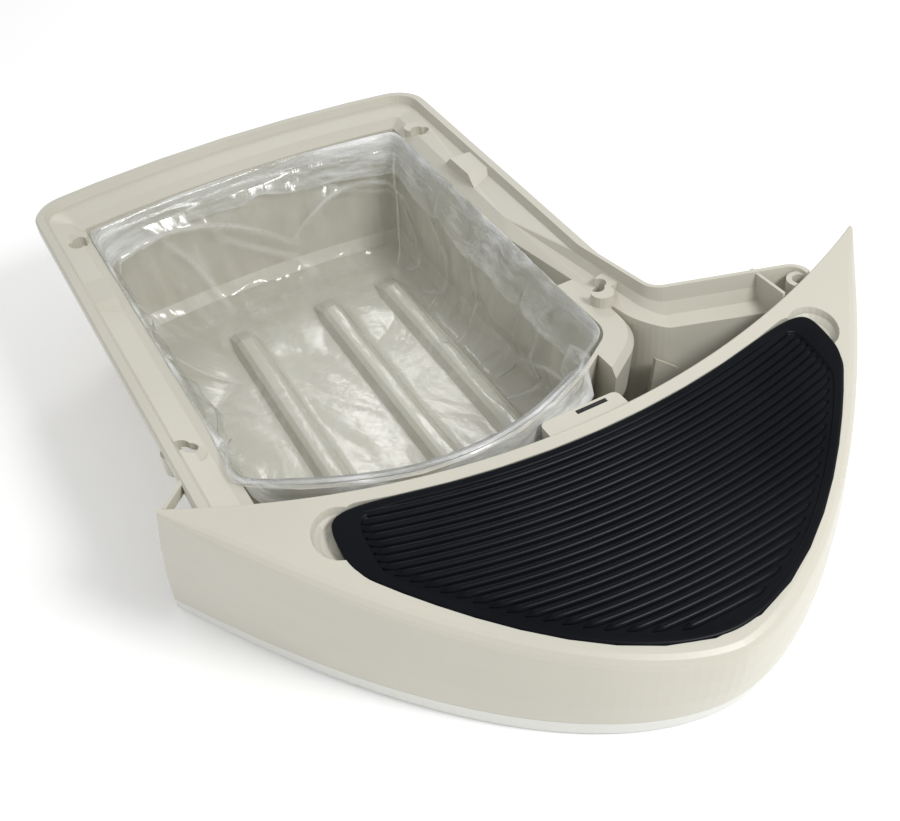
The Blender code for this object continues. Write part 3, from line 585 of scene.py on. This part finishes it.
def polar_ring(polygon, inset, count, rounding):
    """Distances from the mat's centre to a polygon, then its corners eased."""
    reaches = []
    for k in range(count):
        angle = 2.0 * math.pi * k / count
        direction = Vector((math.cos(angle), math.sin(angle)))
        best = 0.0
        for i, here in enumerate(polygon):
            a = here - MAT_CENTRE
            edge = polygon[(i + 1) % len(polygon)] - here
            turn = direction.x * edge.y - direction.y * edge.x
            if abs(turn) < 1e-12:
                continue
            along = (a.x * edge.y - a.y * edge.x) / turn
            share = (a.x * direction.y - a.y * direction.x) / turn
            if along > 0.0 and -1e-9 <= share <= 1.0 + 1e-9:
                best = max(best, along)
        reaches.append(best)
    points = []
    for k in range(count):
        angle = 2.0 * math.pi * k / count
        points.append(MAT_CENTRE + Vector((math.cos(angle), math.sin(angle))) * reaches[k])
    for _ in range(rounding):
        points = [0.5 * points[k] + 0.25 * (points[k - 1] + points[(k + 1) % count])
                  for k in range(count)]
    moved = []
    for k in range(count):
        along = (points[(k + 1) % count] - points[k - 1]).normalized()
        moved.append(points[k] + Vector((-along.y, along.x)) * inset)
    return moved


def rib_half(back):
    """Half length of the rib whose middle lies this far in front of the rear edge."""
    low, high = 0.0, MAT_HALF - END_BORDER - 0.001
    for _ in range(30):
        x = 0.5 * (low + high)
        border = (LONG_BORDER + RIB_END) * math.hypot(1.0, front_slope(x))
        if mat_back(x) - back > mat_front(x) + border:
            low = x
        else:
            high = x
    return low


def make_mat():
    count = MAT_RING_POINTS
    builder = bmesh.new()
    outer = mat_polygon(MAT_HALF, 0.0, 0.0)
    field = mat_polygon(MAT_HALF - END_BORDER, LONG_BORDER, LONG_BORDER)
    rings = []
    for inset, height in ((0.0002, -MAT_DEPTH), (0.0, -MAT_DEPTH + 0.0004),
                          (0.0, MAT_PROUD - 0.0010), (0.0003, MAT_PROUD - 0.0004),
                          (0.0009, MAT_PROUD - 0.0001), (0.0017, MAT_PROUD)):
        rings.append([(p, height) for p in polar_ring(outer, inset, count, 26)])
    for inset, height in ((-0.0008, MAT_PROUD), (-0.0002, MAT_PROUD - 0.0002),
                          (0.0002, MAT_PROUD - RIB_HEIGHT + 0.0003),
                          (0.0007, MAT_PROUD - RIB_HEIGHT)):
        rings.append([(p, height) for p in polar_ring(field, inset, count, 20)])
    rows = [[builder.verts.new((p.x + MAT_SHIFT, p.y, step_top(p.y) + h)) for p, h in ring]
            for ring in rings]
    for low, high in zip(rows, rows[1:]):
        for k in range(count):
            n = (k + 1) % count
            builder.faces.new((low[k], low[n], high[n], high[k]))
    builder.faces.new(list(reversed(rows[0])))
    builder.faces.new(rows[-1])

    pitch = (MAT_BACK_Y - MAT_FRONT_Y - 2.0 * LONG_BORDER) / RIBS
    section = [(math.cos(math.radians(a)), math.sin(math.radians(a)))
               for a in (0.0, 22.0, 45.0, 68.0, 90.0, 112.0, 135.0, 158.0, 180.0)]
    section += [(-1.0, -0.25), (1.0, -0.25)]
    for rib in range(RIBS):
        back = LONG_BORDER + pitch * (rib + 0.5)
        half = rib_half(back)
        if half < 0.012:
            continue
        steps = max(10, round(half / RIB_END))
        rows = []
        for i in range(steps + 1):
            x = half * (2.0 * i / steps - 1.0)
            from_end = 1.0 - min(1.0, (half - abs(x)) / RIB_END)
            ease = math.sqrt(max(0.05, 1.0 - from_end ** 2))
            y = mat_back(x) - back
            row = []
            for across, up in section:
                py = y + across * RIB_WIDTH_SHARE * pitch * ease
                height = MAT_PROUD - RIB_HEIGHT + up * (RIB_HEIGHT + 0.0002) * ease
                row.append(builder.verts.new((x + MAT_SHIFT, py, step_top(py) + height)))
            rows.append(row)
        size = len(section)
        for a, b in zip(rows, rows[1:]):
            for k in range(size):
                n = (k + 1) % size
                builder.faces.new((a[k], b[k], b[n], a[n]))
        builder.faces.new(rows[0])
        builder.faces.new(list(reversed(rows[-1])))
    bmesh.ops.recalc_face_normals(builder, faces=builder.faces)
    mesh = bpy.data.meshes.new("ribbed_mat")
    builder.to_mesh(mesh)
    builder.free()
    for face in mesh.polygons:
        face.use_smooth = len(face.vertices) == 4
    mesh.materials.append(RUBBER)
    mat = bpy.data.objects.new("ribbed_mat", mesh)
    bpy.context.scene.collection.objects.link(mat)
    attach(mat, "mat")
    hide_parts("step_mat")


make_mat()


# ---------------------------------------------------------------- camera, light and floor
CAMERA_SPOT = Vector((-0.27615, -0.59718, 0.58294))
CAMERA_TURNS = (0.403, 0.7147, 0.1205)      # azimuth, downward pitch and roll, in radians
FOCAL_PIXELS = 1177.9
IMAGE_WIDTH = 900.0
SENSOR_WIDTH = 36.0
FLOOR_HALF = 6.0
FLOOR_LEVEL = -0.0005


def add_camera():
    azimuth, pitch, roll = CAMERA_TURNS
    forward = Vector((math.sin(azimuth) * math.cos(pitch), math.cos(azimuth) * math.cos(pitch),
                      -math.sin(pitch)))
    right = Vector((math.cos(azimuth), -math.sin(azimuth), 0.0))
    down = forward.cross(right)
    turned_right = right * math.cos(roll) + down * math.sin(roll)
    turned_down = -right * math.sin(roll) + down * math.cos(roll)
    data = bpy.data.cameras.new("camera")
    data.sensor_width = SENSOR_WIDTH
    data.lens = FOCAL_PIXELS / IMAGE_WIDTH * SENSOR_WIDTH
    data.clip_start = 0.01
    camera = bpy.data.objects.new("camera", data)
    matrix = Matrix((turned_right, -turned_down, -forward)).transposed().to_4x4()
    matrix.translation = CAMERA_SPOT
    camera.matrix_world = matrix
    bpy.context.scene.collection.objects.link(camera)
    bpy.context.scene.camera = camera


def add_light(name, spot, power, size):
    """Add a round area light that points at the origin."""
    data = bpy.data.lights.new(name, "AREA")
    data.energy = power
    data.shape = "DISK"
    data.size = size
    light = bpy.data.objects.new(name, data)
    light.location = spot
    light.rotation_euler = (-Vector(spot)).to_track_quat("-Z", "Y").to_euler()
    bpy.context.scene.collection.objects.link(light)


def add_floor():
    mesh = bpy.data.meshes.new("floor")
    corners = [(x * FLOOR_HALF, y * FLOOR_HALF, FLOOR_LEVEL)
               for x, y in ((-1.0, -1.0), (1.0, -1.0), (1.0, 1.0), (-1.0, 1.0))]
    mesh.from_pydata(corners, [], [(0, 1, 2, 3)])
    floor = bpy.data.objects.new("floor", mesh)
    material, tree, shader = new_material("white_floor")
    coords = object_coords(tree)
    haze = noise_factor(tree, coords, 3.0, 2.0)
    colours = ((0.0, (0.97, 0.97, 0.97)), (1.0, (0.98, 0.98, 0.98)))
    tree.links.new(ramp(tree, haze, colours), shader.inputs["Base Color"])
    shader.inputs["Roughness"].default_value = 0.9
    shader.inputs["Specular IOR Level"].default_value = 0.1
    shader.inputs["Emission Color"].default_value = (1.0, 1.0, 1.0, 1.0)
    shader.inputs["Emission Strength"].default_value = 0.12
    mesh.materials.append(material)
    bpy.context.scene.collection.objects.link(floor)


def add_world():
    world = bpy.data.worlds.new("studio")
    world.use_nodes = True
    background = world.node_tree.nodes["Background"]
    background.inputs["Color"].default_value = (1.0, 1.0, 1.0, 1.0)
    background.inputs["Strength"].default_value = 0.66
    bpy.context.scene.world = world
    view = bpy.context.scene.view_settings
    view.view_transform = "Standard"
    view.look = "None"
    view.exposure = 0.0


add_camera()
add_world()
add_floor()
add_light("key", (0.50, -1.10, 1.25), 15.0, 0.45)
add_light("back", (0.45, 1.25, 1.25), 3.2, 0.45)
